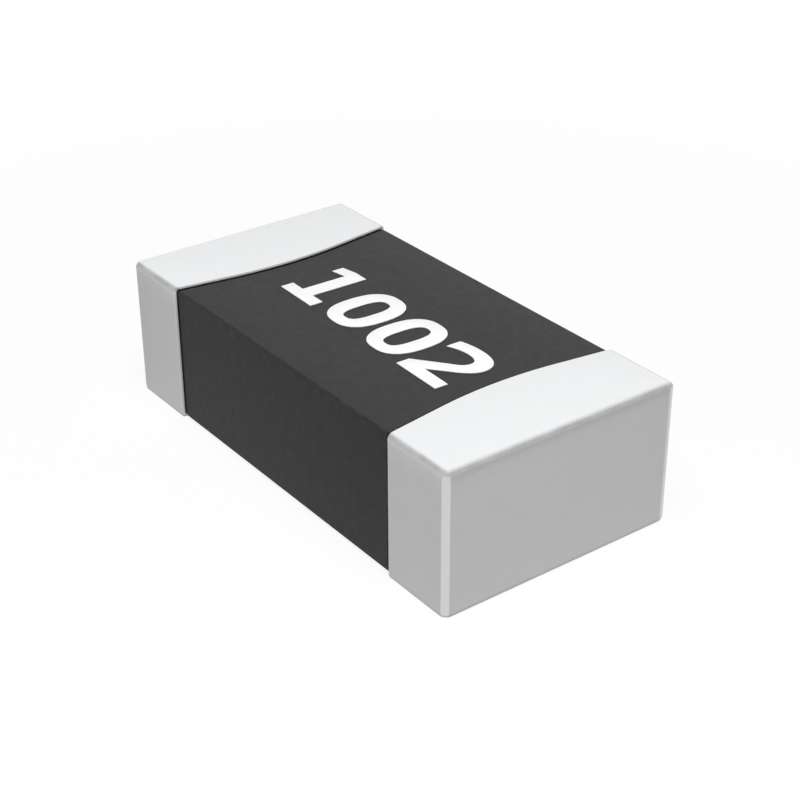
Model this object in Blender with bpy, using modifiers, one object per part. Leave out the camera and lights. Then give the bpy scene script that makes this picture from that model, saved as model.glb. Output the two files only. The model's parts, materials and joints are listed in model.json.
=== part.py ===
"""Thick-film chip resistor, 1.6 x 0.8 mm, lying on its two wrap-around solder terminations.

Metres, +Z up. X runs along the chip and Y across it. The origin is at the middle of the chip, which is the
point that placing a chip part on a board goes by. The layers are printed, fired or plated on one another, so
they meet face to face and have no clearance.
"""
import math

import bmesh
import bpy

MM = 0.001
UM = 0.000001

# The whole chip, over its plating
LENGTH = 1.600 * MM
WIDTH = 0.800 * MM
HEIGHT = 0.456 * MM

# Each termination: a dipped silver cup, a nickel barrier and tin plating
SILVER_THICKNESS = 3 * UM
NICKEL_THICKNESS = 3 * UM
TIN_THICKNESS = 3 * UM

# The termination's band on the top and the underside. Its edge is an arc that runs out straight to the sides
BAND_AT_TIP = 0.294 * MM
BAND_ARC_RADIUS = 1.350 * MM
BAND_ARC_HALF_WIDTH = 0.200 * MM
BAND_ARC_STEPS = 6

# What is printed on the top of the substrate
ELECTRODE_THICKNESS = 8 * UM
FILM_THICKNESS = 8 * UM
GLASS_THICKNESS = 6 * UM
COAT_OVER_GLASS = 8 * UM
COAT_UNDER_BAND = 0.012 * MM
TONGUE_REACH = 0.118 * MM
TONGUE_FROM_SIDE = 0.080 * MM
FILM_ON_TONGUE = 0.050 * MM
FILM_INSIDE_TONGUE = 0.040 * MM
GLASS_MARGIN = 0.020 * MM
RAMP_NEAR_TONGUE = 0.010 * MM
RAMP_RUN = 0.020 * MM

# The laser trim: an L-shaped cut in from one long edge of the film, then along the chip
TRIM_WIDTH = 0.025 * MM
TRIM_X = -0.120 * MM
TRIM_DEPTH = 0.330 * MM
TRIM_RUN = 0.220 * MM

# Edge radii of the body, of each layer of the terminations, and of the tin's curved rim
BODY_EDGE = 5 * UM
SILVER_EDGE = 9 * UM
NICKEL_EDGE = 13 * UM
TIN_EDGE = 18 * UM
TIN_RIM = 4 * UM

# How many facets round each of those edges
BODY_FACETS = 2
SILVER_FACETS = 3
NICKEL_FACETS = 3
TIN_FACETS = 4
RIM_FACETS = 2

# The printed value code, whose digits fill the room between the two bands
MARK_TEXT = "1002"
MARK_THICKNESS = 3 * UM
MARK_FROM_LEFT_BAND = 0.126 * MM
MARK_FROM_RIGHT_BAND = 0.078 * MM
MARK_CENTRE_Y = -0.013 * MM
MARK_TURN = math.radians(-1.5)
DIGIT_GAP = 0.024 * MM
DIGIT_HEIGHT = 0.240 * MM
DIGIT_COUNTER = 0.068 * MM
DIGIT_BAR = 0.044 * MM
CURVE_STEPS = 5

# The figure 0: two ovals, a little fuller than ellipses
ZERO_SQUARENESS = 2.25
ZERO_OUTER_POINTS = 28
ZERO_INNER_POINTS = 16

# The figure 1: how far its foot bar stays inside its cell, and the flag at the top of its stem
ONE_FOOT_INSET = 0.009 * MM
ONE_FLAG_DROP = 0.012 * MM
ONE_FLAG_DEPTH = 0.041 * MM

# The figure 2, in per cent of a digit's half width to the right of its middle, and of its height above its foot
TWO_HEEL = -20
TWO_NECK = (36, 37)
TWO_NECK_SWING = 56
TWO_BOWL = 72
TWO_CROWN = (-6, -50)
TWO_LEFT_SHOULDER = 94
TWO_TERMINAL = 73
TWO_INNER_CROWN = (-18, -55)
TWO_INNER_BOWL = 69
TWO_INNER_SWING = 59
TWO_INNER_NECK = (2, 50)

# How far a cutter reaches past what it cuts, and how close points are joined after a curve is filled
REACH = 0.050 * MM
WELD = 0.01 * UM

# Edges sharper than the first angle are rounded, and those sharper than the second are shaded sharp
SHARP = math.radians(60)
CREASE = math.radians(30)

# Places that follow from the sizes above
TOP = HEIGHT / 2
CUP_THICKNESS = SILVER_THICKNESS + NICKEL_THICKNESS + TIN_THICKNESS
BODY_HALF_LENGTH = LENGTH / 2 - CUP_THICKNESS
BODY_HALF_WIDTH = WIDTH / 2 - CUP_THICKNESS
BODY_TOP = TOP - CUP_THICKNESS
COAT_THICKNESS = ELECTRODE_THICKNESS + FILM_THICKNESS + GLASS_THICKNESS + COAT_OVER_GLASS
SUBSTRATE_TOP = BODY_TOP - COAT_THICKNESS
TIN_TIP = LENGTH / 2 - BAND_AT_TIP
NICKEL_TIP = TIN_TIP + TIN_THICKNESS
SILVER_TIP = NICKEL_TIP + NICKEL_THICKNESS
COAT_TIP = TIN_TIP + COAT_UNDER_BAND
TONGUE_INNER_END = COAT_TIP - TONGUE_REACH
TONGUE_WIDTH = WIDTH - 2 * TONGUE_FROM_SIDE
FILM_HALF_LENGTH = TONGUE_INNER_END + FILM_ON_TONGUE
FILM_WIDTH = TONGUE_WIDTH - 2 * FILM_INSIDE_TONGUE
MARK_LEFT = -TIN_TIP + MARK_FROM_LEFT_BAND
MARK_RIGHT = TIN_TIP - MARK_FROM_RIGHT_BAND
DIGIT_PITCH = (MARK_RIGHT - MARK_LEFT + DIGIT_GAP) / len(MARK_TEXT)
DIGIT_WIDTH = DIGIT_PITCH - DIGIT_GAP
DIGIT_STEM = (DIGIT_WIDTH - DIGIT_COUNTER) / 2

ENDS = (("left", -1), ("right", 1))


def clear_scene():
    for obj in list(bpy.data.objects):
        bpy.data.objects.remove(obj)


def new_collection(name):
    collection = bpy.data.collections.new(name)
    bpy.context.scene.collection.children.link(collection)
    return collection


def place(obj, collection):
    """Moves an object into one collection only."""
    for old in obj.users_collection:
        old.objects.unlink(obj)
    collection.objects.link(obj)
    return obj


def material(name, colour, roughness, metallic):
    made = bpy.data.materials.new(name)
    made.use_nodes = True
    shader = made.node_tree.nodes["Principled BSDF"]
    shader.inputs["Base Color"].default_value = (*colour, 1)
    shader.inputs["Roughness"].default_value = roughness
    shader.inputs["Metallic"].default_value = metallic
    return made


def box(name, low, high):
    """A cube primitive stretched between two corners."""
    middle = [(a + b) / 2 for a, b in zip(low, high)]
    bpy.ops.mesh.primitive_cube_add(size=1, location=middle)
    obj = bpy.context.active_object
    obj.name = name
    obj.scale = [b - a for a, b in zip(low, high)]
    bpy.ops.object.transform_apply(location=False, rotation=False, scale=True)
    return obj


def join_each_side(work):
    """Makes each filled side one face. The fill leaves triangles of no area where an outline's points lie in line."""
    for side in (1, -1):
        cap = [face for face in work.faces if all(side * vertex.co.z > 0 for vertex in face.verts)]
        bmesh.ops.dissolve_faces(work, faces=cap)


def plate(name, outlines, thickness, location=(0, 0, 0), rotation=(0, 0, 0)):
    """Closed outlines filled, and thickened evenly to both sides of their plane."""
    data = bpy.data.curves.new(name, "CURVE")
    data.dimensions = "2D"
    data.fill_mode = "BOTH"
    data.extrude = thickness / 2
    for outline in outlines:
        spline = data.splines.new("POLY")
        spline.points.add(len(outline) - 1)
        for point, (x, y) in zip(spline.points, outline):
            point.co = (x, y, 0, 1)
        spline.use_cyclic_u = True
    curve = bpy.data.objects.new(name, data)
    bpy.context.scene.collection.objects.link(curve)
    curve.location = location
    curve.rotation_euler = rotation
    graph = bpy.context.evaluated_depsgraph_get()
    mesh = bpy.data.meshes.new_from_object(curve.evaluated_get(graph))
    matrix = curve.matrix_world.copy()
    bpy.data.objects.remove(curve)
    bpy.data.curves.remove(data)
    work = bmesh.new()
    work.from_mesh(mesh)
    bmesh.ops.remove_doubles(work, verts=work.verts, dist=WELD)
    if len(outlines) == 1:
        join_each_side(work)
    work.to_mesh(mesh)
    work.free()
    obj = bpy.data.objects.new(name, mesh)
    bpy.context.scene.collection.objects.link(obj)
    obj.matrix_world = matrix
    return obj


def round_edges(obj, radius, facets, name="rounded_edges"):
    """Rounds the sharp edges, and leaves the shallow ones of an earlier rounding."""
    modifier = obj.modifiers.new(name, "BEVEL")
    modifier.width = radius
    modifier.segments = facets
    modifier.limit_method = "ANGLE"
    modifier.angle_limit = SHARP
    return obj


def combine(obj, other, operation):
    modifier = obj.modifiers.new(f"{operation.lower()}_{other.name}", "BOOLEAN")
    modifier.operation = operation
    modifier.object = other
    modifier.solver = "EXACT"
    return obj


def helper(obj, collection):
    """Marks an object as a cutter, which is not a piece of the chip."""
    obj.hide_render = True
    obj.display_type = "WIRE"
    return place(obj, collection)


def piece(obj, name, collection, finish):
    obj.name = name
    obj.data.name = name
    obj.data.materials.clear()
    obj.data.materials.append(finish)
    obj.data.shade_smooth()
    obj.data.set_sharp_from_angle(angle=CREASE)
    return place(obj, collection)


def band_edge(tip, y):
    """X of a termination's curved edge at a distance y from the chip's centre line."""
    y = abs(y)
    if y <= BAND_ARC_HALF_WIDTH:
        return tip + BAND_ARC_RADIUS - math.sqrt(BAND_ARC_RADIUS**2 - y**2)
    to_chord = math.sqrt(BAND_ARC_RADIUS**2 - BAND_ARC_HALF_WIDTH**2)
    slope = BAND_ARC_HALF_WIDTH / to_chord
    return tip + BAND_ARC_RADIUS - to_chord + slope * (y - BAND_ARC_HALF_WIDTH)


def middle_outline(tip):
    """The plan of what lies between two curved edges, wider than the chip."""
    side = WIDTH / 2 + REACH
    arc = [BAND_ARC_HALF_WIDTH * (2 * i / BAND_ARC_STEPS - 1) for i in range(BAND_ARC_STEPS + 1)]
    right = [(band_edge(tip, y), y) for y in (-side, *arc, side)]
    left = [(-x, y) for x, y in reversed(right)]
    return right + left


def middle_cutter(name, tip, low, high, cutters):
    outline = middle_outline(tip)
    return helper(plate(name, [outline], high - low, (0, 0, (low + high) / 2)), cutters)


def printed_outline(half_length, bottom, top):
    """Length and height of a print that climbs onto the electrode tongues at both of its ends."""
    ramp_top = TONGUE_INNER_END - RAMP_NEAR_TONGUE
    ramp_foot = ramp_top - RAMP_RUN
    half = [
        (TONGUE_INNER_END, bottom),
        (TONGUE_INNER_END, bottom + ELECTRODE_THICKNESS),
        (half_length, bottom + ELECTRODE_THICKNESS),
        (half_length, top + ELECTRODE_THICKNESS),
        (ramp_top, top + ELECTRODE_THICKNESS),
        (ramp_foot, top),
    ]
    return half + [(-x, z) for x, z in reversed(half)]


def printed_plate(name, half_length, width, bottom, top):
    outline = printed_outline(half_length, SUBSTRATE_TOP + bottom, SUBSTRATE_TOP + top)
    return plate(name, [outline], width, rotation=(math.pi / 2, 0, 0))


def trim_cutter(cutters):
    """The laser cut through glass and film, down to the substrate."""
    inner_y = -FILM_WIDTH / 2 + TRIM_DEPTH
    outer_y = -FILM_WIDTH / 2 - GLASS_MARGIN - REACH
    outline = [
        (TRIM_X, outer_y),
        (TRIM_X + TRIM_WIDTH, outer_y),
        (TRIM_X + TRIM_WIDTH, inner_y - TRIM_WIDTH),
        (TRIM_X + TRIM_RUN, inner_y - TRIM_WIDTH),
        (TRIM_X + TRIM_RUN, inner_y),
        (TRIM_X, inner_y),
    ]
    return helper(plate("laser_trim", [outline], 2 * REACH, (0, 0, SUBSTRATE_TOP)), cutters)


def body_block(name):
    """The black body with all it holds inside, as one block with lightly rounded edges."""
    low = (-BODY_HALF_LENGTH, -BODY_HALF_WIDTH, -BODY_TOP)
    high = (BODY_HALF_LENGTH, BODY_HALF_WIDTH, BODY_TOP)
    return round_edges(box(name, low, high), BODY_EDGE, BODY_FACETS)


def make_substrate(parts, cutters):
    slab = box(
        "above_substrate",
        (-LENGTH, -WIDTH, SUBSTRATE_TOP),
        (LENGTH, WIDTH, TOP + REACH),
    )
    helper(slab, cutters)
    substrate = combine(body_block("block"), slab, "DIFFERENCE")
    ceramic = material("black_ceramic", (0.045, 0.045, 0.047), 0.55, 0)
    return piece(substrate, "ceramic_substrate", parts, ceramic)


def make_electrodes(parts, cutters, block):
    """A thick pad at each end of the chip, and a thin tongue that the film lies on."""
    silver = material("fired_silver", (0.72, 0.71, 0.68), 0.45, 1)
    round_tongues = middle_cutter(
        "round_tongues",
        COAT_TIP,
        SUBSTRATE_TOP - REACH,
        TOP + REACH,
        cutters,
    )
    strip = box(
        "tongue_strip",
        (-LENGTH, -TONGUE_WIDTH / 2, SUBSTRATE_TOP - 2 * REACH),
        (LENGTH, TONGUE_WIDTH / 2, SUBSTRATE_TOP + ELECTRODE_THICKNESS),
    )
    helper(strip, cutters)
    combine(round_tongues, strip, "DIFFERENCE")
    for end, sign in ENDS:
        inner = sign * TONGUE_INNER_END
        outer = sign * (LENGTH / 2 + REACH)
        region = box(
            "electrode",
            (min(inner, outer), -WIDTH, SUBSTRATE_TOP),
            (max(inner, outer), WIDTH, TOP + REACH),
        )
        combine(region, block, "INTERSECT")
        combine(region, round_tongues, "DIFFERENCE")
        piece(region, f"top_electrode_{end}", parts, silver)


def make_film(parts, trim):
    film = printed_plate("film", FILM_HALF_LENGTH, FILM_WIDTH, 0, FILM_THICKNESS)
    combine(film, trim, "DIFFERENCE")
    finish = material("ruthenium_oxide_film", (0.025, 0.024, 0.026), 0.5, 0)
    return piece(film, "resistive_film", parts, finish)


def make_glass(parts, cutters, trim):
    """A thin glaze over the film and a little past its edges."""
    half_length = FILM_HALF_LENGTH + GLASS_MARGIN
    width = FILM_WIDTH + 2 * GLASS_MARGIN
    top = FILM_THICKNESS + GLASS_THICKNESS
    film_space = helper(
        printed_plate("film_space", FILM_HALF_LENGTH, FILM_WIDTH, -REACH, FILM_THICKNESS),
        cutters,
    )
    glass = printed_plate("glass", half_length, width, 0, top)
    combine(glass, film_space, "DIFFERENCE")
    combine(glass, trim, "DIFFERENCE")
    finish = material("green_glaze", (0.10, 0.16, 0.11), 0.25, 0)
    piece(glass, "glass_passivation", parts, finish)
    glass_space = helper(printed_plate("glass_space", half_length, width, -REACH, top), cutters)
    return combine(glass_space, trim, "DIFFERENCE")


def make_overcoat(parts, cutters, block, glass_space):
    """The black top face. It fills the laser cut and ends in a hollow curve under each termination."""
    coat = plate(
        "coat",
        [middle_outline(COAT_TIP)],
        COAT_THICKNESS + REACH,
        (0, 0, SUBSTRATE_TOP + (COAT_THICKNESS + REACH) / 2),
    )
    combine(coat, block, "INTERSECT")
    for end, sign in ENDS:
        inner = sign * TONGUE_INNER_END
        outer = sign * LENGTH / 2
        tongue = box(
            f"tongue_space_{end}",
            (min(inner, outer), -TONGUE_WIDTH / 2, SUBSTRATE_TOP - REACH),
            (max(inner, outer), TONGUE_WIDTH / 2, SUBSTRATE_TOP + ELECTRODE_THICKNESS),
        )
        combine(coat, helper(tongue, cutters), "DIFFERENCE")
    combine(coat, glass_space, "DIFFERENCE")
    finish = material("black_epoxy_overcoat", (0.055, 0.055, 0.056), 0.5, 0)
    return piece(coat, "protective_overcoat", parts, finish)


def cup_block(name, sign, covered, radius, facets, tip_cutter):
    """One end of the chip as far as its curved edges, as it is once a layer is on it.

    covered is the thickness of the layers that come on top of this one.
    """
    inner = sign * (TIN_TIP - REACH)
    outer = sign * (LENGTH / 2 - covered)
    block = box(
        name,
        (min(inner, outer), -WIDTH / 2 + covered, -TOP + covered),
        (max(inner, outer), WIDTH / 2 - covered, TOP - covered),
    )
    round_edges(block, radius, facets)
    return combine(block, tip_cutter, "DIFFERENCE")


def make_terminations(parts, cutters, block):
    """Three nested cups on each end. Each plating laps over the edge of the layer under it."""
    silver = material("silver_termination", (0.74, 0.72, 0.69), 0.5, 1)
    nickel = material("nickel_barrier", (0.62, 0.59, 0.55), 0.35, 1)
    tin = material("matte_tin", (0.80, 0.80, 0.81), 0.45, 1)
    reach = TOP + REACH
    silver_edge = middle_cutter("inside_silver", SILVER_TIP, -reach, reach, cutters)
    nickel_edge = middle_cutter("inside_nickel", NICKEL_TIP, -reach, reach, cutters)
    tin_edge = middle_cutter("inside_tin", TIN_TIP, -reach, reach, cutters)
    silver_shape = (NICKEL_THICKNESS + TIN_THICKNESS, SILVER_EDGE, SILVER_FACETS, silver_edge)
    nickel_shape = (TIN_THICKNESS, NICKEL_EDGE, NICKEL_FACETS, nickel_edge)
    tin_shape = (0, TIN_EDGE, TIN_FACETS, tin_edge)
    for end, sign in ENDS:
        silver_space = helper(cup_block(f"silver_space_{end}", sign, *silver_shape), cutters)
        nickel_space = helper(cup_block(f"nickel_space_{end}", sign, *nickel_shape), cutters)

        silver_cup = cup_block("silver", sign, *silver_shape)
        combine(silver_cup, block, "DIFFERENCE")
        piece(silver_cup, f"silver_base_{end}", parts, silver)

        nickel_cup = cup_block("nickel", sign, *nickel_shape)
        combine(nickel_cup, silver_space, "DIFFERENCE")
        combine(nickel_cup, block, "DIFFERENCE")
        piece(nickel_cup, f"nickel_barrier_{end}", parts, nickel)

        tin_cup = cup_block("tin", sign, *tin_shape)
        round_edges(tin_cup, TIN_RIM, RIM_FACETS, "rounded_rim")
        combine(tin_cup, nickel_space, "DIFFERENCE")
        combine(tin_cup, block, "DIFFERENCE")
        piece(tin_cup, f"tin_plating_{end}", parts, tin)


def curved(start, control, end):
    """Points of a quadratic curve, without its first."""
    points = []
    for i in range(1, CURVE_STEPS + 1):
        t = i / CURVE_STEPS
        weights = ((1 - t) ** 2, 2 * t * (1 - t), t**2)
        points.append(tuple(sum(w * p[axis] for w, p in zip(weights, (start, control, end))) for axis in (0, 1)))
    return points


def oval(half_width, half_height, count):
    """A superellipse."""
    points = []
    for i in range(count):
        turn = 2 * math.pi * i / count
        x = math.copysign(abs(math.cos(turn)) ** (2 / ZERO_SQUARENESS), math.cos(turn))
        y = math.copysign(abs(math.sin(turn)) ** (2 / ZERO_SQUARENESS), math.sin(turn))
        points.append((half_width * x, half_height * y))
    return points


def zero_outlines():
    outer = oval(DIGIT_WIDTH / 2, DIGIT_HEIGHT / 2, ZERO_OUTER_POINTS)
    inner = oval(DIGIT_WIDTH / 2 - DIGIT_STEM, DIGIT_HEIGHT / 2 - DIGIT_BAR, ZERO_INNER_POINTS)
    return [outer, inner]


def one_outlines():
    base = DIGIT_WIDTH / 2 - ONE_FOOT_INSET
    stem = DIGIT_STEM / 2
    foot = -DIGIT_HEIGHT / 2
    top = DIGIT_HEIGHT / 2
    flag_top = top - ONE_FLAG_DROP
    flag_foot = flag_top - ONE_FLAG_DEPTH
    outline = [
        (-base, foot),
        (base, foot),
        (base, foot + DIGIT_BAR),
        (stem, foot + DIGIT_BAR),
        (stem, top),
        (-stem, top),
        (-base, flag_top),
        (-base, flag_foot),
        (-stem, flag_foot + ONE_FLAG_DROP),
        (-stem, foot + DIGIT_BAR),
        (-base, foot + DIGIT_BAR),
    ]
    return [outline]


def two_outlines():
    side = DIGIT_WIDTH / 2
    foot = -DIGIT_HEIGHT / 2
    top = DIGIT_HEIGHT / 2
    inner_side = side - DIGIT_STEM
    inner_top = top - DIGIT_BAR

    def across(share):
        return share * side / 100

    def up(share):
        return foot + share * DIGIT_HEIGHT / 100

    neck = (across(TWO_NECK[0]), up(TWO_NECK[1]))
    bowl = (side, up(TWO_BOWL))
    crown = (across(TWO_CROWN[0]), top)
    terminal = (-side, up(TWO_TERMINAL))
    inner_crown = (across(TWO_INNER_CROWN[0]), inner_top)
    inner_bowl = (inner_side, up(TWO_INNER_BOWL))
    inner_neck = (across(TWO_INNER_NECK[0]), up(TWO_INNER_NECK[1]))

    outline = [(-side, foot), (side, foot), (side, foot + DIGIT_BAR), (across(TWO_HEEL), foot + DIGIT_BAR), neck]
    outline += curved(neck, (side, up(TWO_NECK_SWING)), bowl)
    outline += curved(bowl, (side, top), crown)
    outline += curved(crown, (across(TWO_CROWN[1]), top), (-side, up(TWO_LEFT_SHOULDER)))
    outline.append(terminal)
    outline += curved(terminal, (across(TWO_INNER_CROWN[1]), inner_top), inner_crown)
    outline += curved(inner_crown, (inner_side, inner_top), inner_bowl)
    outline += curved(inner_bowl, (inner_side, up(TWO_INNER_SWING)), inner_neck)
    outline.append((-side, foot + DIGIT_BAR))
    return [outline]


def make_marking(parts):
    """White digits printed on the overcoat, read with the chip's length running left to right."""
    ink = material("white_ink", (0.9, 0.9, 0.9), 0.5, 0)
    drawn = {"0": zero_outlines, "1": one_outlines, "2": two_outlines}
    centre_x = (MARK_LEFT + MARK_RIGHT) / 2
    for i, digit in enumerate(MARK_TEXT):
        along = DIGIT_PITCH * (i - (len(MARK_TEXT) - 1) / 2)
        x = centre_x + along * math.cos(MARK_TURN)
        y = MARK_CENTRE_Y + along * math.sin(MARK_TURN)
        obj = plate(
            "digit",
            drawn[digit](),
            MARK_THICKNESS,
            (x, y, BODY_TOP + MARK_THICKNESS / 2),
            (0, 0, MARK_TURN),
        )
        piece(obj, f"marking_digit_{i + 1}", parts, ink)


def main():
    clear_scene()
    parts = new_collection("chip_resistor")
    cutters = new_collection("cutters")
    block = helper(body_block("body_space"), cutters)
    trim = trim_cutter(cutters)
    make_substrate(parts, cutters)
    make_electrodes(parts, cutters, block)
    make_film(parts, trim)
    glass_space = make_glass(parts, cutters, trim)
    make_overcoat(parts, cutters, block, glass_space)
    make_terminations(parts, cutters, block)
    make_marking(parts)


main()
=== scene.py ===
"""The looks of a thick-film chip resistor: matte tin ends, a black body and a white printed code.

Metres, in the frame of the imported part. The printed, dipped and plated layers inside keep their solids.
"""
import json
import math

import bmesh
import bpy
from mathutils import Matrix, Vector


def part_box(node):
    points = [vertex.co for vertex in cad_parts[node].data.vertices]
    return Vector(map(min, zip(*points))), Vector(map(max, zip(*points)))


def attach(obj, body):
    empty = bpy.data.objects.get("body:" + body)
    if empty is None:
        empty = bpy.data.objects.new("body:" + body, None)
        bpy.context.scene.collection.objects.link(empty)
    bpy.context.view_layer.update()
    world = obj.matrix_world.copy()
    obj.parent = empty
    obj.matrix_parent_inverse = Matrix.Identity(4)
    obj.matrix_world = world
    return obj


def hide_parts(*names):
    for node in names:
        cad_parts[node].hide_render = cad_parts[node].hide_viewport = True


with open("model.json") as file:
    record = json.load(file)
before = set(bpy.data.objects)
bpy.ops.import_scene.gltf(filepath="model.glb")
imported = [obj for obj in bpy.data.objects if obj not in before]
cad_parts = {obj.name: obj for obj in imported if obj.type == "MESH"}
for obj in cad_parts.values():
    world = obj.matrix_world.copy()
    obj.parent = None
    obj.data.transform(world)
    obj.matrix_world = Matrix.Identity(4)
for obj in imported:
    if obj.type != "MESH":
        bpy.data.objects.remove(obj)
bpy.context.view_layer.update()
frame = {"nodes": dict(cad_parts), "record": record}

MM = 0.001
UM = 0.000001

# The camera, as fitted to the corners of the object in the photograph. It looks past the chip's middle,
# which is the frame's origin, by VIEW_RIGHT and VIEW_UP
VIEW_AZIMUTH = math.radians(-36.59)
VIEW_ELEVATION = math.radians(29.32)
VIEW_ROLL = math.radians(-0.27)
VIEW_DISTANCE = 5.164 * MM
VIEW_RIGHT = 0.0423 * MM
VIEW_UP = -0.0466 * MM
SENSOR_WIDTH = 36.0
FOCAL_LENGTH = 77.03
CLIP_NEAR = 0.01 * MM
CLIP_FAR = 90 * MM

# Light: a round soft lamp high on the camera's side, and an even surround
LAMP_AZIMUTH = math.radians(-34.5)
LAMP_ELEVATION = math.radians(72)
LAMP_DISTANCE = 8 * MM
LAMP_WIDTH = 5.8 * MM
LAMP_LIGHT = 0.953
LAMP_COLOUR = (0.987, 1.0, 1.013)
SURROUND = 0.17

# The floor, just clear of the chip's underside
FLOOR_RADIUS = 60 * MM
FLOOR_RINGS = (1.5 * MM, 4 * MM, 12 * MM)
FLOOR_SIDES = 96
FLOOR_DROP = 0.2 * UM

# The light that the floor throws up: its level near a middle and far from it, and where it fades between the
# two, in millimetres
FLOOR_BOUNCE = (0.36, 0.095)
FLOOR_BOUNCE_COLOUR = (1.025, 1.0, 0.985)
FLOOR_BOUNCE_FADE = (1.0, 1.8)
FLOOR_BOUNCE_MIDDLE = (0.2, 0, 0)

# How much of the object's shadow the floor shows to the camera, and where that fades, in millimetres
FLOOR_SHADOW_SHARE = 0.11
FLOOR_FADE = (1.5, 3.5)
FLOOR_MIDDLE = (0, 0, 0)

# Sizes read from the solids
TIN_LOW, TIN_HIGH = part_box("tin_plating_right")
NICKEL_LOW, NICKEL_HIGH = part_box("nickel_barrier_right")
SUBSTRATE_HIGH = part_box("ceramic_substrate")[1]
COAT_LOW, COAT_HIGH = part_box("protective_overcoat")
GLASS_LOW, GLASS_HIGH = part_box("glass_passivation")
LENGTH = 2 * TIN_HIGH.x
WIDTH = 2 * TIN_HIGH.y
TOP = TIN_HIGH.z
TIN_TIP = TIN_LOW.x

# Sizes that the solids have too: the bands' curved edge, the coat's reach under it, and the tongues of the
# electrodes
BAND_ARC_RADIUS = 1.350 * MM
BAND_ARC_HALF_WIDTH = 0.200 * MM
COAT_UNDER_BAND = 0.012 * MM
TONGUE_REACH = 0.118 * MM
TONGUE_FROM_SIDE = 0.080 * MM
TONGUE_THICKNESS = 8 * UM

# The tin's upright corners. Each has the width of its softening, a power where 1 is round and more is
# flatter, and how much the width grows with the inset at the foot
TIN_NEAR_CORNER = (17 * UM, 1.36, 0.4)
TIN_FAR_CORNER = (11 * UM, 1.0, 2.2)
TIN_LEAST_CORNER = 1.5 * UM
TIN_TOP_SHRINK = 0.75

# Level edges of the tin, and rounded edges of its rim, of the nickel under it and of the black body
TIN_TOP_EDGE = 18 * UM
TIN_FOOT_EDGE = 7 * UM
TIN_FOOT_RISE = 17 * UM
RIM_EDGE = 5 * UM
NICKEL_EDGE = 13 * UM
BODY_EDGE = 4.5 * UM
BODY_TOP_EDGE = 9 * UM
ROUND_PROFILE = 0.5

# A fine groove in the black body along each tin rim
GROOVE_WIDTH = 12 * UM
GROOVE_DEPTH = 8 * UM
GROOVE_UNDER_RIM = 2 * UM

# How finely curves are divided
BAND_ARC_STEPS = 32
TIN_FACETS = 8
RIM_FACETS = 4
NICKEL_FACETS = 3
BODY_FACETS = 4

# How far shapes reach past where one cuts another
REACH = 0.050 * MM

# Edges sharper than SHARP are rounded, shading breaks at those sharper than CREASE, and points nearer to each
# other than WELD become one
SHARP = math.radians(60)
CREASE = math.radians(35)
WELD = 0.005 * UM

# The printed code, drawn in cells in line along the chip
MARK_TEXT = "1002"
MARK_MIDDLE = (0.024 * MM, -0.013 * MM)
MARK_TURN = math.radians(-1.5)
MARK_THICKNESS = 3 * UM
MARK_EDGE = 0.8 * UM
MARK_EDGE_STEPS = 1
DIGIT_PITCH = 0.208 * MM
DIGIT_WIDTH = 0.184 * MM
DIGIT_HEIGHT = 0.240 * MM
DIGIT_STEM = 0.056 * MM
DIGIT_BAR = 0.044 * MM
CURVE_STEPS = 12
OVAL_POINTS = 72
OUTER_SQUARENESS = 2.5
INNER_SQUARENESS = 2.8
ONE_FOOT_INSET = 0.009 * MM
ONE_FLAG_DROP = 0.012 * MM
ONE_FLAG_DEPTH = 0.041 * MM

# Points of the two, in per cent of the cell's half width and of its height
TWO_HEEL = -20
TWO_NECK = (36, 37)
TWO_NECK_SWING = 56
TWO_BOWL = 72
TWO_CROWN = (-6, -50)
TWO_LEFT_SHOULDER = 94
TWO_TERMINAL = 73
TWO_INNER_CROWN = (-18, -55)
TWO_INNER_BOWL = 69
TWO_INNER_SWING = 59
TWO_INNER_NECK = (2, 50)

# Tones, which are painted shade and light, are pairs of a distance in micrometres and the share of its full
# colour that a surface has there. A colour ramp holds them divided by FULLEST_TONE, which none of them passes
FULLEST_TONE = 1.25

# Painted shade on the level edges of the tin, by the depth below its top and the height above its foot. Its
# long sides have a painted highlight line too. How strongly the tones show varies in patches, whose size is
# in millimetres
END_SHADE_TONES = ((0, 1.0), (3, 0.79), (8, 0.59), (15, 0.84), (40, 0.97), (75, 1.0))
SIDE_SHADE_AND_HIGHLIGHT_TONES = (
    (0, 1.0), (2, 0.67), (5, 0.57), (11, 0.75), (15, 1.02), (19, 1.16), (25, 1.06), (75, 1.0)
)
FOOT_SHADE_TONES = ((0, 0.66), (5, 0.76), (10, 1.0))
TONED_WIDTH = 18.5 * UM
UNEVEN_SIZE = 0.060
UNEVEN_RANGE = (0.35, 0.65)
UNEVEN_SHARES = (0.80, 1.15)

# A painted highlight on the upright corners of the tin: more metallic than the rest, they mirror the white
# surround
HIGHLIGHT_STRIP_WIDTH = 16.5 * UM
HIGHLIGHT_STRIP_FROM_TOP = 15 * UM
HIGHLIGHT_STRIP_FROM_FOOT = 9 * UM
HIGHLIGHT_STRIP_METAL = 0.52
TIN_METAL = 0.18

# A broken line of painted shade along the rounded long edges of the top coat, by the depth below its top. It
# ends in the tone of the coat's sides, which is painted light. How strongly it shows varies in patches, whose
# size is in millimetres
COAT_SHADE_AND_LIGHT_TONES = ((0, 1.0), (0.1, 1.0), (0.25, 0.68), (2.4, 0.90), (5, 1.10), (10, 1.24))
LINE_WIDTH = 9 * UM
LINE_SIZE = 0.035
LINE_RANGE = (0.42, 0.58)
LINE_SHARES = (0.55, 1.6)

# Where the clouds and the grain of a finish are at their darkest and lightest, and how finely they break up
NOISE_RANGE = (0.3, 0.7)
CLOUD_DETAIL = 3.0
GRAIN_DETAIL = 4.0

# Sparse fine specks, whose size is in millimetres
SPECK_SIZE = 0.011
SPECK_DETAIL = 1.0
SPECK_RANGE = (0.70, 0.74)

ENDS = (("left", -1), ("right", 1))


# Meshes

def link(obj):
    bpy.context.scene.collection.objects.link(obj)
    return obj


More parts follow.
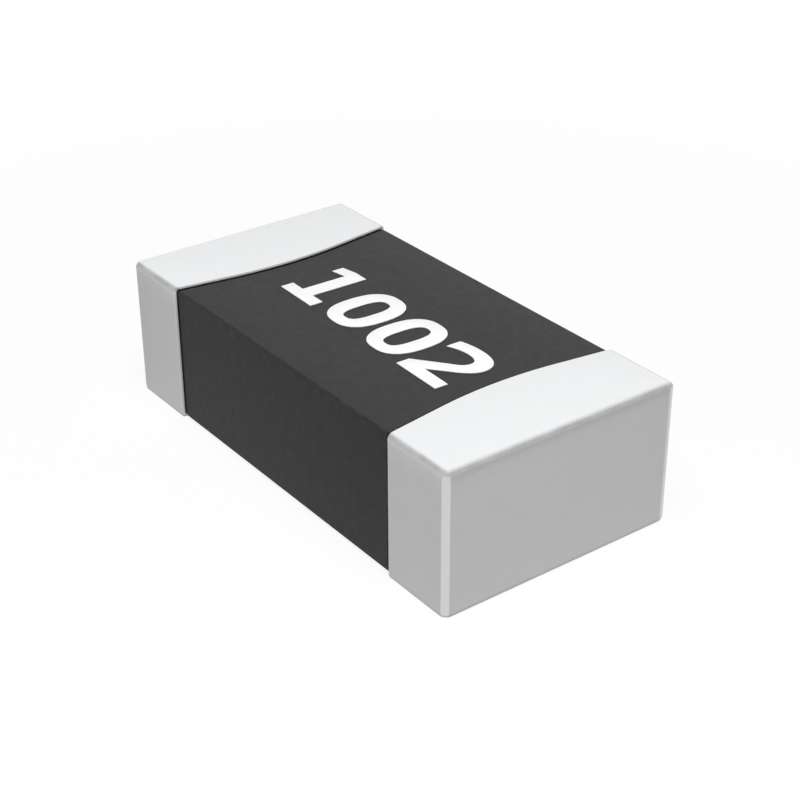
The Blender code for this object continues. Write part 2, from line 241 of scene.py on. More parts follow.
def mesh_object(name, work):
    """A new object that holds a bmesh."""
    mesh = bpy.data.meshes.new(name)
    work.to_mesh(mesh)
    work.free()
    return link(bpy.data.objects.new(name, mesh))


def drop(*objects):
    for obj in objects:
        bpy.data.objects.remove(obj)


def block(name, low, high):
    """A closed box between two corners, to be rounded and cut."""
    work = bmesh.new()
    bmesh.ops.create_cube(work, size=1)
    middle = [(a + b) / 2 for a, b in zip(low, high)]
    size = [b - a for a, b in zip(low, high)]
    for vertex in work.verts:
        vertex.co = [m + c * s for m, c, s in zip(middle, vertex.co, size)]
    return mesh_object(name, work)


def prism(name, outline, low, high):
    """An upright prism over a plan outline that runs anticlockwise."""
    work = bmesh.new()
    foot = [work.verts.new((x, y, low)) for x, y in outline]
    face = work.faces.new(foot)
    raised = bmesh.ops.extrude_face_region(work, geom=[face])
    for item in raised["geom"]:
        if isinstance(item, bmesh.types.BMVert):
            item.co.z = high
    bmesh.ops.recalc_face_normals(work, faces=work.faces)
    return mesh_object(name, work)


def disc(name, radii, sides):
    """A level disc of rings of faces round its middle."""
    work = bmesh.new()
    centre = work.verts.new((0, 0, 0))
    turns = [2 * math.pi * i / sides for i in range(sides)]
    rings = []
    for radius in radii:
        rings.append([work.verts.new((radius * math.cos(t), radius * math.sin(t), 0)) for t in turns])
    for i in range(sides):
        j = (i + 1) % sides
        work.faces.new((centre, rings[0][i], rings[0][j]))
        for inner, outer in zip(rings, rings[1:]):
            work.faces.new((inner[i], outer[i], outer[j], inner[j]))
    return mesh_object(name, work)


def round_edges(obj, radius, facets):
    modifier = obj.modifiers.new("rounded", "BEVEL")
    modifier.width = radius
    modifier.segments = facets
    modifier.limit_method = "ANGLE"
    modifier.angle_limit = SHARP
    return obj


def cut(obj, other, solver="EXACT"):
    modifier = obj.modifiers.new("cut", "BOOLEAN")
    modifier.operation = "DIFFERENCE"
    modifier.object = other
    modifier.solver = solver
    return obj


def settle(obj):
    """Applies an object's modifiers, and smooths it between its sharp edges."""
    graph = bpy.context.evaluated_depsgraph_get()
    mesh = bpy.data.meshes.new_from_object(obj.evaluated_get(graph))
    obj.modifiers.clear()
    obj.data = mesh
    work = bmesh.new()
    work.from_mesh(mesh)
    bmesh.ops.remove_doubles(work, verts=work.verts, dist=WELD)
    bmesh.ops.dissolve_degenerate(work, edges=work.edges, dist=WELD)
    work.to_mesh(mesh)
    work.free()
    mesh.shade_smooth()
    mesh.set_sharp_from_angle(angle=CREASE)
    flat = obj.modifiers.new("flat_sides", "WEIGHTED_NORMAL")
    flat.keep_sharp = True
    return obj


def finished(obj, material, node_name):
    """Gives a shaped piece its mesh and its material, hides the solid that it stands for, and sets it on the
    body it rides on.
    """
    settle(obj)
    obj.data.materials.clear()
    obj.data.materials.append(material)
    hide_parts(node_name)
    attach(obj, "root")
    return obj


# The bands' curved edges

def band_edge(y):
    """X of the right-hand termination's curved edge at a distance y from the chip's centre line."""
    y = abs(y)
    if y <= BAND_ARC_HALF_WIDTH:
        return TIN_TIP + BAND_ARC_RADIUS - math.sqrt(BAND_ARC_RADIUS**2 - y**2)
    to_chord = math.sqrt(BAND_ARC_RADIUS**2 - BAND_ARC_HALF_WIDTH**2)
    slope = BAND_ARC_HALF_WIDTH / to_chord
    return TIN_TIP + BAND_ARC_RADIUS - to_chord + slope * (y - BAND_ARC_HALF_WIDTH)


def along_band(shift):
    """The right-hand curved edge moved along the chip, from beyond the near side to beyond the far one."""
    side = WIDTH / 2 + REACH
    arc = [BAND_ARC_HALF_WIDTH * (2 * i / BAND_ARC_STEPS - 1) for i in range(BAND_ARC_STEPS + 1)]
    return [(band_edge(y) + shift, y) for y in (-side, *arc, side)]


def between_bands(shift=0):
    """The plan of what lies between the two curved edges, wider than the chip."""
    right = along_band(shift)
    return right + [(-x, y) for x, y in reversed(right)]


def beside_band(sign):
    """The plan of the groove along one band."""
    outer = [(sign * x, y) for x, y in along_band(GROOVE_UNDER_RIM)]
    inner = [(sign * x, y) for x, y in along_band(-GROOVE_WIDTH)]
    return outer + inner[::-1] if sign > 0 else inner + outer[::-1]


# The black body

def long_edges(edges, side):
    """Those of the edges that lie above the chip's middle, for a side of 1, or below it, for -1."""
    return [edge for edge in edges if edge.verts[0].co.z * side > 0]


def body_block(name, inset=0):
    """The black body with all it holds inside, as one block with rounded long edges."""
    high = (SUBSTRATE_HIGH.x - inset, SUBSTRATE_HIGH.y - inset, COAT_HIGH.z - inset)
    body = block(name, [-size for size in high], high)
    work = bmesh.new()
    work.from_mesh(body.data)
    along = [edge for edge in work.edges if abs(edge.verts[0].co.x - edge.verts[1].co.x) > high[0]]
    for edges, radius in ((long_edges(along, 1), BODY_TOP_EDGE), (long_edges(along, -1), BODY_EDGE)):
        bmesh.ops.bevel(
            work, geom=edges, offset=radius, segments=BODY_FACETS, profile=ROUND_PROFILE, affect="EDGES"
        )
    work.to_mesh(body.data)
    work.free()
    return body


def grooved_body(name):
    """The body block with a groove along each tin rim, and the helpers that cut it."""
    core = body_block("core", GROOVE_DEPTH)
    body = body_block(name)
    helpers = [core]
    for end, sign in ENDS:
        strip = prism(f"strip_{end}", beside_band(sign), -TOP - REACH, TOP + REACH)
        cut(strip, core)
        cut(body, strip)
        helpers.append(strip)
    return body, helpers


def make_ceramic(material):
    """The black slab under the coat."""
    body, helpers = grooved_body("ceramic_slab")
    above = block("above", (-LENGTH, -WIDTH, SUBSTRATE_HIGH.z), (LENGTH, WIDTH, TOP + REACH))
    cut(body, above)
    finished(body, material, "ceramic_substrate")
    drop(above, *helpers)


def make_coat(material):
    """The black top coat, with room under it for what is printed on the slab."""
    body, helpers = grooved_body("top_coat")
    tongue_end = COAT_HIGH.x - TONGUE_REACH
    tongue_side = WIDTH / 2 - TONGUE_FROM_SIDE
    tongue_top = COAT_LOW.z + TONGUE_THICKNESS
    between = prism("between", between_bands(COAT_UNDER_BAND), -TOP, TOP + 2 * REACH)
    room = [
        block("below", (-LENGTH, -WIDTH, -TOP - REACH), (LENGTH, WIDTH, COAT_LOW.z)),
        block("glass", (GLASS_LOW.x, GLASS_LOW.y, 0), GLASS_HIGH),
    ]
    for end, sign in ENDS:
        inner, outer = sorted((sign * tongue_end, sign * LENGTH / 2))
        room.append(block(f"tongue_{end}", (inner, -tongue_side, 0), (outer, tongue_side, tongue_top)))
        inner, outer = sorted((sign * TIN_TIP, sign * LENGTH))
        room.append(cut(block(f"past_{end}", (inner, -WIDTH, 0), (outer, WIDTH, TOP + REACH)), between))
    for space in room:
        cut(body, space)
    finished(body, material, "protective_overcoat")
    drop(between, *room, *helpers)


# The tin ends

def corner_curve(corner, inset, at_foot):
    """Points round one upright corner of a tin block, from its long side to its end.

    Each is given by its distances from the end and from the side. The softening narrows with the inset at the
    top, and widens with it at the foot.
    """
    width, power, growth = corner
    width = max(width + (growth if at_foot else -TIN_TOP_SHRINK) * inset, TIN_LEAST_CORNER)
    points = []
    for i in range(TIN_FACETS + 1):
        turn = math.pi / 2 * i / TIN_FACETS
        from_end = inset + width * (1 - math.sin(turn) ** power)
        from_side = inset + width * (1 - math.cos(turn) ** power)
        points.append((from_end, from_side))
    return points


def softened_ring(low, high, inset, at_foot):
    """The level outline of a tin block, anticlockwise."""
    near = corner_curve(TIN_NEAR_CORNER, inset, at_foot)
    far = corner_curve(TIN_FAR_CORNER, inset, at_foot)
    outline = [(low[0] + x, low[1] + y) for x, y in reversed(near)]
    outline += [(high[0] - x, low[1] + y) for x, y in near]
    outline += [(high[0] - x, high[1] - y) for x, y in reversed(far)]
    outline += [(low[0] + x, high[1] - y) for x, y in far]
    return outline


def tin_block(name, low, high):
    """A block between two corners with soft edges, built up ring by ring."""
    turns = [math.pi / 2 * i / TIN_FACETS for i in range(TIN_FACETS + 1)]
    levels = []
    for turn in turns:
        inset = TIN_FOOT_EDGE * (1 - math.sin(turn))
        levels.append((inset, True, low[2] + TIN_FOOT_RISE * (1 - math.cos(turn))))
    for turn in turns:
        inset = TIN_TOP_EDGE * (1 - math.cos(turn))
        levels.append((inset, False, high[2] - TIN_TOP_EDGE * (1 - math.sin(turn))))
    work = bmesh.new()
    rings = []
    for inset, at_foot, z in levels:
        rings.append([work.verts.new((x, y, z)) for x, y in softened_ring(low, high, inset, at_foot)])
    for below, above in zip(rings, rings[1:]):
        for i in range(len(below)):
            work.faces.new((below[i - 1], below[i], above[i], above[i - 1]))
    work.faces.new(rings[0][::-1])
    work.faces.new(rings[-1])
    return mesh_object(name, work)


def end_corners(sign, outermost):
    """The low and high corners of one end of the chip, out to a layer's outermost corner."""
    inner, outer = sorted((sign * (TIN_TIP - REACH), sign * outermost.x))
    return (inner, -outermost.y, -outermost.z), (outer, outermost.y, outermost.z)


def make_tin_cup(end, sign, material):
    """A matte tin cup over one end and its nickel.

    Its edges are soft, and its rim is rounded where it meets the body.
    """
    middle = prism("middle", between_bands(), -TOP - REACH, TOP + REACH)
    plated_middle = prism("plated_middle", between_bands(NICKEL_LOW.x - TIN_TIP), -TOP - REACH, TOP + REACH)
    plated = round_edges(block("plated", *end_corners(sign, NICKEL_HIGH)), NICKEL_EDGE, NICKEL_FACETS)
    cut(plated, plated_middle)
    body = body_block("body")
    cup = tin_block(f"tin_cup_{end}", *end_corners(sign, TIN_HIGH))
    cut(cup, middle)
    round_edges(cup, RIM_EDGE, RIM_FACETS)
    cut(cup, body, "MANIFOLD")
    cut(cup, plated, "MANIFOLD")
    finished(cup, material, f"tin_plating_{end}")
    drop(middle, plated_middle, plated, body)


# The printed code

def curved(start, control, end):
    """Points of a quadratic curve, without its first."""
    points = []
    for i in range(1, CURVE_STEPS + 1):
        t = i / CURVE_STEPS
        weights = ((1 - t) ** 2, 2 * t * (1 - t), t**2)
        x, y = (sum(w * p[axis] for w, p in zip(weights, (start, control, end))) for axis in (0, 1))
        points.append((x, y))
    return points


def oval(half_width, half_height, squareness):
    """A superellipse."""
    points = []
    for i in range(OVAL_POINTS):
        turn = 2 * math.pi * i / OVAL_POINTS
        x = math.copysign(abs(math.cos(turn)) ** (2 / squareness), math.cos(turn))
        y = math.copysign(abs(math.sin(turn)) ** (2 / squareness), math.sin(turn))
        points.append((half_width * x, half_height * y))
    return points


def zero_outlines():
    outer = oval(DIGIT_WIDTH / 2, DIGIT_HEIGHT / 2, OUTER_SQUARENESS)
    inner = oval(DIGIT_WIDTH / 2 - DIGIT_STEM, DIGIT_HEIGHT / 2 - DIGIT_BAR, INNER_SQUARENESS)
    return [outer, inner]


def one_outlines():
    base = DIGIT_WIDTH / 2 - ONE_FOOT_INSET
    stem = DIGIT_STEM / 2
    foot = -DIGIT_HEIGHT / 2
    top = DIGIT_HEIGHT / 2
    flag_top = top - ONE_FLAG_DROP
    flag_foot = flag_top - ONE_FLAG_DEPTH
    outline = [
        (-base, foot),
        (base, foot),
        (base, foot + DIGIT_BAR),
        (stem, foot + DIGIT_BAR),
        (stem, top),
        (-stem, top),
        (-base, flag_top),
        (-base, flag_foot),
        (-stem, flag_foot + ONE_FLAG_DROP),
        (-stem, foot + DIGIT_BAR),
        (-base, foot + DIGIT_BAR),
    ]
    return [outline]


def two_outlines():
    side = DIGIT_WIDTH / 2
    foot = -DIGIT_HEIGHT / 2
    top = DIGIT_HEIGHT / 2
    inner_side = side - DIGIT_STEM
    inner_top = top - DIGIT_BAR

    def across(share):
        return share * side / 100

    def up(share):
        return foot + share * DIGIT_HEIGHT / 100

    neck = (across(TWO_NECK[0]), up(TWO_NECK[1]))
    bowl = (side, up(TWO_BOWL))
    crown = (across(TWO_CROWN[0]), top)
    terminal = (-side, up(TWO_TERMINAL))
    inner_crown = (across(TWO_INNER_CROWN[0]), inner_top)
    inner_bowl = (inner_side, up(TWO_INNER_BOWL))
    inner_neck = (across(TWO_INNER_NECK[0]), up(TWO_INNER_NECK[1]))

    outline = [
        (-side, foot),
        (side, foot),
        (side, foot + DIGIT_BAR),
        (across(TWO_HEEL), foot + DIGIT_BAR),
        neck,
    ]
    outline += curved(neck, (side, up(TWO_NECK_SWING)), bowl)
    outline += curved(bowl, (side, top), crown)
    outline += curved(crown, (across(TWO_CROWN[1]), top), (-side, up(TWO_LEFT_SHOULDER)))
    outline.append(terminal)
    outline += curved(terminal, (across(TWO_INNER_CROWN[1]), inner_top), inner_crown)
    outline += curved(inner_crown, (inner_side, inner_top), inner_bowl)
    outline += curved(inner_bowl, (inner_side, up(TWO_INNER_SWING)), inner_neck)
    outline.append((-side, foot + DIGIT_BAR))
    return [outline]


def inked(name, outlines, x, y):
    """Closed outlines as a thin layer of ink with soft edges, lying on the top coat."""
    data = bpy.data.curves.new(name, "CURVE")
    data.dimensions = "2D"
    data.fill_mode = "BOTH"
    data.extrude = MARK_THICKNESS / 2 - MARK_EDGE
    data.bevel_depth = MARK_EDGE
    data.bevel_resolution = MARK_EDGE_STEPS
    data.offset = -MARK_EDGE
    for outline in outlines:
        spline = data.splines.new("POLY")
        spline.points.add(len(outline) - 1)
        for point, (along, across) in zip(spline.points, outline):
            point.co = (along, across, 0, 1)
        spline.use_cyclic_u = True
    curve = link(bpy.data.objects.new(name, data))
    graph = bpy.context.evaluated_depsgraph_get()
    mesh = bpy.data.meshes.new_from_object(curve.evaluated_get(graph))
    drop(curve)
    bpy.data.curves.remove(data)
    place = Matrix.Translation((x, y, COAT_HIGH.z + MARK_THICKNESS / 2))
    mesh.transform(place @ Matrix.Rotation(MARK_TURN, 4, "Z"))
    return link(bpy.data.objects.new(name, mesh))


def make_code(material):
    """The white printed code, read with the chip's length running left to right."""
    drawn = {"0": zero_outlines, "1": one_outlines, "2": two_outlines}
    for i, digit in enumerate(MARK_TEXT):
        along = DIGIT_PITCH * (i - (len(MARK_TEXT) - 1) / 2)
        x = MARK_MIDDLE[0] + along * math.cos(MARK_TURN)
        y = MARK_MIDDLE[1] + along * math.sin(MARK_TURN)
        ink = inked(f"inked_digit_{i + 1}", drawn[digit](), x, y)
        finished(ink, material, f"marking_digit_{i + 1}")


# Shader nodes

def grey(value):
    return (value, value, value)


def node(tree, kind, **settings):
    made = tree.nodes.new(kind)
    for name, value in settings.items():
        setattr(made, name, value)
    return made


def put(tree, value, socket):
    """Links an output to an input, or sets the input to a number."""
    if isinstance(value, bpy.types.NodeSocket):
        tree.links.new(value, socket)
    else:
        socket.default_value = value


def sums(tree, operation, first, second=0.0):
    """One step of arithmetic on sockets and numbers."""
    made = node(tree, "ShaderNodeMath", operation=operation)
    put(tree, first, made.inputs[0])
    put(tree, second, made.inputs[1])
    return made.outputs[0]


def product(tree, first, *others):
    """Sockets multiplied by each other."""
    for other in others:
        first = sums(tree, "MULTIPLY", first, other)
    return first


def mixed(tree, first, second, share=0.5):
    """Two values mixed by the share of the second."""
    made = node(tree, "ShaderNodeMix", data_type="FLOAT")
    put(tree, share, made.inputs["Factor"])
    tree.links.new(first, made.inputs["A"])
    tree.links.new(second, made.inputs["B"])
    return made.outputs["Result"]


def spread(tree, value, low, high, to_low, to_high):
    """Maps a value from one range to another, clamped."""
    made = node(tree, "ShaderNodeMapRange")
    names = ("Value", "From Min", "From Max", "To Min", "To Max")
    for name, number in zip(names, (value, low, high, to_low, to_high)):
        put(tree, number, made.inputs[name])
    return made.outputs["Result"]


def colours(tree, value, stops):
    """A colour ramp through pairs of a place, from 0 to 1, and a colour."""
    made = node(tree, "ShaderNodeValToRGB")
    ramp = made.color_ramp
    first, *between, last = stops
    for element, (position, colour) in zip(ramp.elements, (first, last)):
        element.position = position
        element.color = (*colour, 1)
    for position, colour in between:
        ramp.elements.new(position).color = (*colour, 1)
    tree.links.new(value, made.inputs["Fac"])
    return made.outputs["Color"]


def place_in_mm(tree):
    """The point on the object in millimetres, as a socket."""
    where = node(tree, "ShaderNodeTexCoord")
    scaled = node(tree, "ShaderNodeMapping")
    scaled.inputs["Scale"].default_value = (1 / MM, 1 / MM, 1 / MM)
    tree.links.new(where.outputs["Object"], scaled.inputs["Vector"])
    return scaled.outputs["Vector"]


def coordinates(tree, place):
    """X, Y and Z of a place."""
    apart = node(tree, "ShaderNodeSeparateXYZ")
    tree.links.new(place, apart.inputs[0])
    return [apart.outputs[axis] for axis in "XYZ"]


def inwards(tree, face, coordinate):
    """How many millimetres a coordinate lies in from a face, or from the like face on the other side."""
    return sums(tree, "SUBTRACT", face / MM, sums(tree, "ABSOLUTE", coordinate))


def distance(tree, place, middle):
    """How many millimetres a place is from a point."""
    made = node(tree, "ShaderNodeVectorMath", operation="DISTANCE")
    tree.links.new(place, made.inputs[0])
    made.inputs[1].default_value = middle
    return made.outputs["Value"]


def noise(tree, place, size, detail=CLOUD_DETAIL):
    """Cloudy noise with features of that many millimetres."""
    made = node(tree, "ShaderNodeTexNoise")
    made.inputs["Scale"].default_value = 1 / size
    made.inputs["Detail"].default_value = detail
    tree.links.new(place, made.inputs["Vector"])
    return made.outputs["Fac"]


def glow(tree, colour, strength=1.0):
    """A surface that gives off its own light."""
    made = node(tree, "ShaderNodeEmission")
    made.inputs["Color"].default_value = (*colour, 1)
    put(tree, strength, made.inputs["Strength"])
    return made.outputs["Emission"]


def blended(tree, share, first, second):
    """Two surfaces mixed by the share of the second."""
    made = node(tree, "ShaderNodeMixShader")
    tree.links.new(share, made.inputs["Fac"])
    tree.links.new(first, made.inputs[1])
    tree.links.new(second, made.inputs[2])
    return made.outputs["Shader"]


# Finishes

def speckled(tree, place, colour, specks):
    """A colour with sparse specks of another in it."""
    made = node(tree, "ShaderNodeMix", data_type="RGBA")
    inputs = {socket.identifier: socket for socket in made.inputs}
    outputs = {socket.identifier: socket for socket in made.outputs}
    amount = spread(tree, noise(tree, place, SPECK_SIZE, SPECK_DETAIL), *SPECK_RANGE, 0, 1)
    tree.links.new(amount, inputs["Factor_Float"])
    tree.links.new(colour, inputs["A_Color"])
    inputs["B_Color"].default_value = (*specks, 1)
    return outputs["Result_Color"]


def finish(name, dark, light, cloud, grain, roughness, depth, metallic=0.0, specular=0.5, specks=None):
    """A surface whose colour and roughness vary with cloudy patches and with a grain that is also its relief.

    cloud and grain are feature sizes in millimetres, depth is the relief in metres, specks is their colour.
    """
    made = bpy.data.materials.new(name)
    made.use_nodes = True
    tree = made.node_tree
    shader = tree.nodes["Principled BSDF"]
    shader.inputs["Metallic"].default_value = metallic
    shader.inputs["Specular IOR Level"].default_value = specular
    place = place_in_mm(tree)
    patches = noise(tree, place, cloud)
    grains = noise(tree, place, grain, GRAIN_DETAIL)
    both = mixed(tree, patches, grains)
    colour = colours(tree, both, zip(NOISE_RANGE, (dark, light)))
    if specks:
        colour = speckled(tree, place, colour, specks)
    tree.links.new(colour, shader.inputs["Base Color"])
    tree.links.new(spread(tree, both, *NOISE_RANGE, *roughness), shader.inputs["Roughness"])
    relief = node(tree, "ShaderNodeBump")
    relief.inputs["Distance"].default_value = depth
    tree.links.new(grains, relief.inputs["Height"])
    tree.links.new(relief.outputs["Normal"], shader.inputs["Normal"])
    return made


def toned(tree, depth, tones):
    """The tone at a depth or height in millimetres."""
    reach = tones[-1][0]
    stops = [(micrometres / reach, grey(share / FULLEST_TONE)) for micrometres, share in tones]
    tone = colours(tree, sums(tree, "DIVIDE", depth, reach * UM / MM), stops)
    return sums(tree, "MULTIPLY", tone, FULLEST_TONE)


def share_kept(tree, tone, where, strength):
    """The share of its colour that a surface keeps, where a tone applies by a mask and a strength."""
    missing = product(tree, sums(tree, "SUBTRACT", 1.0, tone), where, strength)
    return sums(tree, "SUBTRACT", 1.0, missing)


def shade(tree, shader, share):
    """Multiplies the colour of a shader by a share."""
    colour = shader.inputs["Base Color"].links[0].from_socket
    scaled = node(tree, "ShaderNodeVectorMath", operation="SCALE")
    tree.links.new(colour, scaled.inputs[0])
    tree.links.new(share, scaled.inputs["Scale"])
    tree.links.new(scaled.outputs["Vector"], shader.inputs["Base Color"])


def shade_and_highlight_tin(made):
    """Paints shade on the tin's level edges, unevenly at the top, and highlights on its long sides and
    upright corners.
    """
    tree = made.node_tree
    shader = tree.nodes["Principled BSDF"]
    place = place_in_mm(tree)
    x, y, z = coordinates(tree, place)
    to_end = inwards(tree, LENGTH / 2, x)
    to_side = inwards(tree, WIDTH / 2, y)
    to_top = sums(tree, "SUBTRACT", TOP / MM, z)
    to_foot = sums(tree, "ADD", TOP / MM, z)

    # Painted highlight: the upright corners get more metal, so they reflect the white surround as a lighter
    # strip
    highlight_strip = product(
        tree,
        sums(tree, "LESS_THAN", sums(tree, "MAXIMUM", to_end, to_side), HIGHLIGHT_STRIP_WIDTH / MM),
        sums(tree, "GREATER_THAN", to_top, HIGHLIGHT_STRIP_FROM_TOP / MM),
        sums(tree, "GREATER_THAN", to_foot, HIGHLIGHT_STRIP_FROM_FOOT / MM),
    )
    # Painted shade under the top edges, with a painted highlight line on the long sides
    on_end = sums(tree, "LESS_THAN", to_end, to_side)
    tone = mixed(tree, toned(tree, to_top, SIDE_SHADE_AND_HIGHLIGHT_TONES), toned(tree, to_top, END_SHADE_TONES), on_end)
    outer = sums(tree, "LESS_THAN", sums(tree, "MINIMUM", to_end, to_side), TONED_WIDTH / MM)
    uneven = spread(tree, noise(tree, place, UNEVEN_SIZE), *UNEVEN_RANGE, *UNEVEN_SHARES)
    share = share_kept(tree, tone, sums(tree, "SUBTRACT", outer, highlight_strip), uneven)

    # Painted shade along the foot too
    shade(tree, shader, product(tree, share, toned(tree, to_foot, FOOT_SHADE_TONES)))
    tree.links.new(spread(tree, highlight_strip, 0, 1, TIN_METAL, HIGHLIGHT_STRIP_METAL), shader.inputs["Metallic"])
    return made


def shade_and_light_coat_edges(made):
    """Paints shade along the long edges of the coat's finish, and paints its sides lighter."""
    tree = made.node_tree
    place = place_in_mm(tree)
    _, y, z = coordinates(tree, place)
    depth = sums(tree, "SUBTRACT", COAT_HIGH.z / MM, z)
    at_edge = sums(tree, "LESS_THAN", inwards(tree, SUBSTRATE_HIGH.y, y), LINE_WIDTH / MM)
    broken = spread(tree, noise(tree, place, LINE_SIZE), *LINE_RANGE, *LINE_SHARES)
    # Painted shade along the coat's long edges, and painted light on its sides
    share = share_kept(tree, toned(tree, depth, COAT_SHADE_AND_LIGHT_TONES), at_edge, broken)
    shade(tree, tree.nodes["Principled BSDF"], share)
    return made


def tin_finish():
    plain = finish(
        "matte_tin",
        dark=(0.846, 0.849, 0.850),
        light=(0.864, 0.867, 0.868),
        cloud=0.060,
        grain=0.006,
        roughness=(0.52, 0.46),
        depth=0.08 * UM,
        specular=0.3,
        specks=grey(0.90),
    )
    return shade_and_highlight_tin(plain)


def ceramic_finish():
    return finish(
        "black_ceramic",
        dark=grey(0.0425),
        light=grey(0.0480),
        cloud=0.030,
        grain=0.005,
        roughness=(0.62, 0.5),
        depth=0.12 * UM,
        specular=0.13,
        specks=grey(0.060),
    )


def coat_finish():
    plain = finish(
        "black_epoxy",
        dark=grey(0.0345),
        light=grey(0.0390),
        cloud=0.030,
        grain=0.005,
        roughness=(0.62, 0.5),
        depth=0.12 * UM,
        specular=0.13,
        specks=grey(0.052),
    )
    return shade_and_light_coat_edges(plain)


def ink_finish():
    return finish(
        "white_ink",
        dark=grey(0.955),
        light=grey(0.985),
        cloud=0.020,
        grain=0.004,
        roughness=(0.6, 0.5),
        depth=0.15 * UM,
        specular=0.3,
    )


def silver_finish():
    """Silver that was printed and fired, under the ends of the film."""
    return finish(
        "fired_silver",
        dark=(0.66, 0.65, 0.62),
        light=(0.76, 0.75, 0.72),
        cloud=0.030,
        grain=0.004,
        roughness=(0.5, 0.4),
        depth=0.3 * UM,
        metallic=1.0,
    )


def dipped_silver_finish():
    """Silver that the chip's ends were dipped in, under the nickel."""
    return finish(
        "dipped_silver",
        dark=(0.68, 0.66, 0.63),
        light=(0.78, 0.76, 0.73),
        cloud=0.040,
        grain=0.005,
        roughness=(0.55, 0.45),
        depth=0.3 * UM,
        metallic=1.0,
    )


def nickel_finish():
    return finish(
        "nickel_plating",
        dark=(0.57, 0.54, 0.50),
        light=(0.66, 0.63, 0.59),
        cloud=0.030,
        grain=0.004,
        roughness=(0.4, 0.3),
        depth=0.1 * UM,
        metallic=1.0,
    )


def film_finish():
    return finish(
        "ruthenium_oxide",
        dark=(0.020, 0.019, 0.021),
        light=(0.034, 0.033, 0.036),
        cloud=0.020,
        grain=0.004,
        roughness=(0.6, 0.45),
        depth=0.3 * UM,
    )


def glaze_finish():
    return finish(
        "green_glaze",
        dark=(0.07, 0.12, 0.08),
        light=(0.12, 0.19, 0.13),
        cloud=0.050,
        grain=0.010,
        roughness=(0.3, 0.18),
        depth=0.1 * UM,
    )


def make_finishes():
    """The finish of each of the record's material slots."""
    return {
        "tin_plating": tin_finish(),
        "black_ceramic": ceramic_finish(),
        "black_overcoat": coat_finish(),
        "white_ink": ink_finish(),
        "fired_silver": silver_finish(),
        "termination_silver": dipped_silver_finish(),
        "nickel_plating": nickel_finish(),
        "resistive_film": film_finish(),
        "glass_glaze": glaze_finish(),
    }


def dress_nodes(finishes):
    """Gives each carried-over solid the finish of its slot."""
    for part in frame["record"]["subparts"]:
        obj = frame["nodes"][part["node"]]
        for slot in obj.material_slots:
            slot.material = finishes[part["material_slot"]]


# Camera, light and floor

def direction(azimuth, elevation):
    """The unit vector that points so far round from +X and so far up."""
    level = math.cos(elevation)
    return Vector((level * math.cos(azimuth), level * math.sin(azimuth), math.sin(elevation)))


def make_camera():
    out = direction(VIEW_AZIMUTH, VIEW_ELEVATION)
    level = Vector((-math.sin(VIEW_AZIMUTH), math.cos(VIEW_AZIMUTH), 0))
    upright = out.cross(level)
    right = level * math.cos(VIEW_ROLL) + upright * math.sin(VIEW_ROLL)
    up = upright * math.cos(VIEW_ROLL) - level * math.sin(VIEW_ROLL)
    data = bpy.data.cameras.new("camera")
    data.lens = FOCAL_LENGTH
    data.sensor_width = SENSOR_WIDTH
    data.clip_start = CLIP_NEAR
    data.clip_end = CLIP_FAR
    camera = link(bpy.data.objects.new("camera", data))
    turn = Matrix((right, up, out)).transposed().to_4x4()
    place = right * VIEW_RIGHT + up * VIEW_UP + out * VIEW_DISTANCE
    camera.matrix_world = Matrix.Translation(place) @ turn
    bpy.context.scene.camera = camera


def make_lamp():
    """A round lamp near enough to fall off a little along the chip, and wide enough for soft shadows."""
    towards = direction(LAMP_AZIMUTH, LAMP_ELEVATION)
    data = bpy.data.lights.new("soft_lamp", "AREA")
    data.shape = "DISK"
    data.size = LAMP_WIDTH
    data.color = LAMP_COLOUR
    # With this power a white surface that faces the lamp would render at LAMP_LIGHT, were the lamp small
    data.energy = LAMP_LIGHT * math.pi**2 * LAMP_DISTANCE**2
    obj = link(bpy.data.objects.new("soft_lamp", data))
    obj.location = towards * LAMP_DISTANCE
    obj.rotation_mode = "QUATERNION"
    obj.rotation_quaternion = towards.to_track_quat("Z", "Y")
    obj.visible_camera = False
    obj.visible_glossy = False


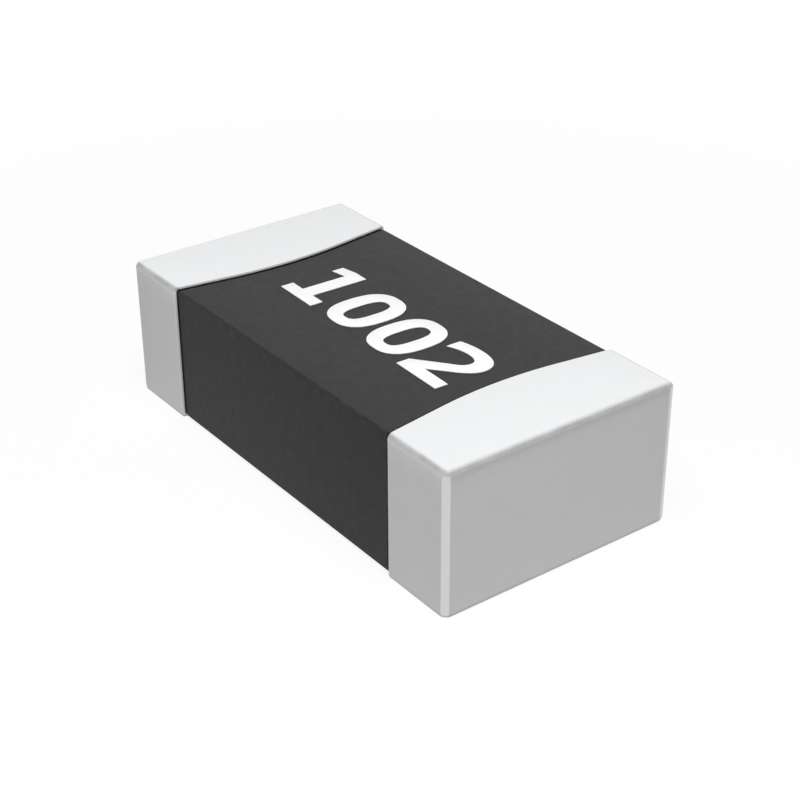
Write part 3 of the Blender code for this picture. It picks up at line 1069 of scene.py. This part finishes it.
def background_seen(tree):
    """1 for the rays that see the background: the camera's, and those of a reflection or through glass."""
    path = node(tree, "ShaderNodeLightPath")
    seen = sums(tree, "MAXIMUM", path.outputs["Is Camera Ray"], path.outputs["Is Glossy Ray"])
    return sums(tree, "MAXIMUM", seen, path.outputs["Is Transmission Ray"])


def make_surround():
    """White as a background, and an even dim light on the object."""
    world = bpy.data.worlds.new("surround")
    bpy.context.scene.world = world
    world.use_nodes = True
    # The light is even, so it needs no map of where it comes from
    world.cycles.sampling_method = "NONE"
    tree = world.node_tree
    sky = tree.nodes["Background"]
    sky.inputs["Color"].default_value = (1, 1, 1, 1)
    tree.links.new(spread(tree, background_seen(tree), 0, 1, SURROUND, 1), sky.inputs["Strength"])


def floor_finish():
    """White with a faint shadow as a background, and dimmer in the light that it throws up at the object."""
    made = bpy.data.materials.new("white_floor")
    made.use_nodes = True
    tree = made.node_tree
    tree.nodes.remove(tree.nodes["Principled BSDF"])
    place = place_in_mm(tree)
    level = spread(tree, distance(tree, place, FLOOR_BOUNCE_MIDDLE), *FLOOR_BOUNCE_FADE, *FLOOR_BOUNCE)
    bounce = glow(tree, FLOOR_BOUNCE_COLOUR, level)
    catcher = node(tree, "ShaderNodeBsdfDiffuse")
    catcher.inputs["Color"].default_value = (1, 1, 1, 1)
    share = spread(tree, distance(tree, place, FLOOR_MIDDLE), *FLOOR_FADE, 1 - FLOOR_SHADOW_SHARE, 1)
    seen = blended(tree, share, catcher.outputs["BSDF"], glow(tree, grey(1)))
    chosen = blended(tree, background_seen(tree), bounce, seen)
    tree.links.new(chosen, tree.nodes["Material Output"].inputs["Surface"])
    return made


def make_floor():
    floor = disc("floor", (*FLOOR_RINGS, FLOOR_RADIUS), FLOOR_SIDES)
    floor.location.z = -TOP - FLOOR_DROP
    floor.data.materials.append(floor_finish())


def main():
    make_camera()
    make_surround()
    make_floor()
    make_lamp()
    finishes = make_finishes()
    dress_nodes(finishes)
    make_ceramic(finishes["black_ceramic"])
    make_coat(finishes["black_overcoat"])
    for end, sign in ENDS:
        make_tin_cup(end, sign, finishes["tin_plating"])
    make_code(finishes["white_ink"])
    bpy.context.scene.view_settings.view_transform = "Standard"


main()
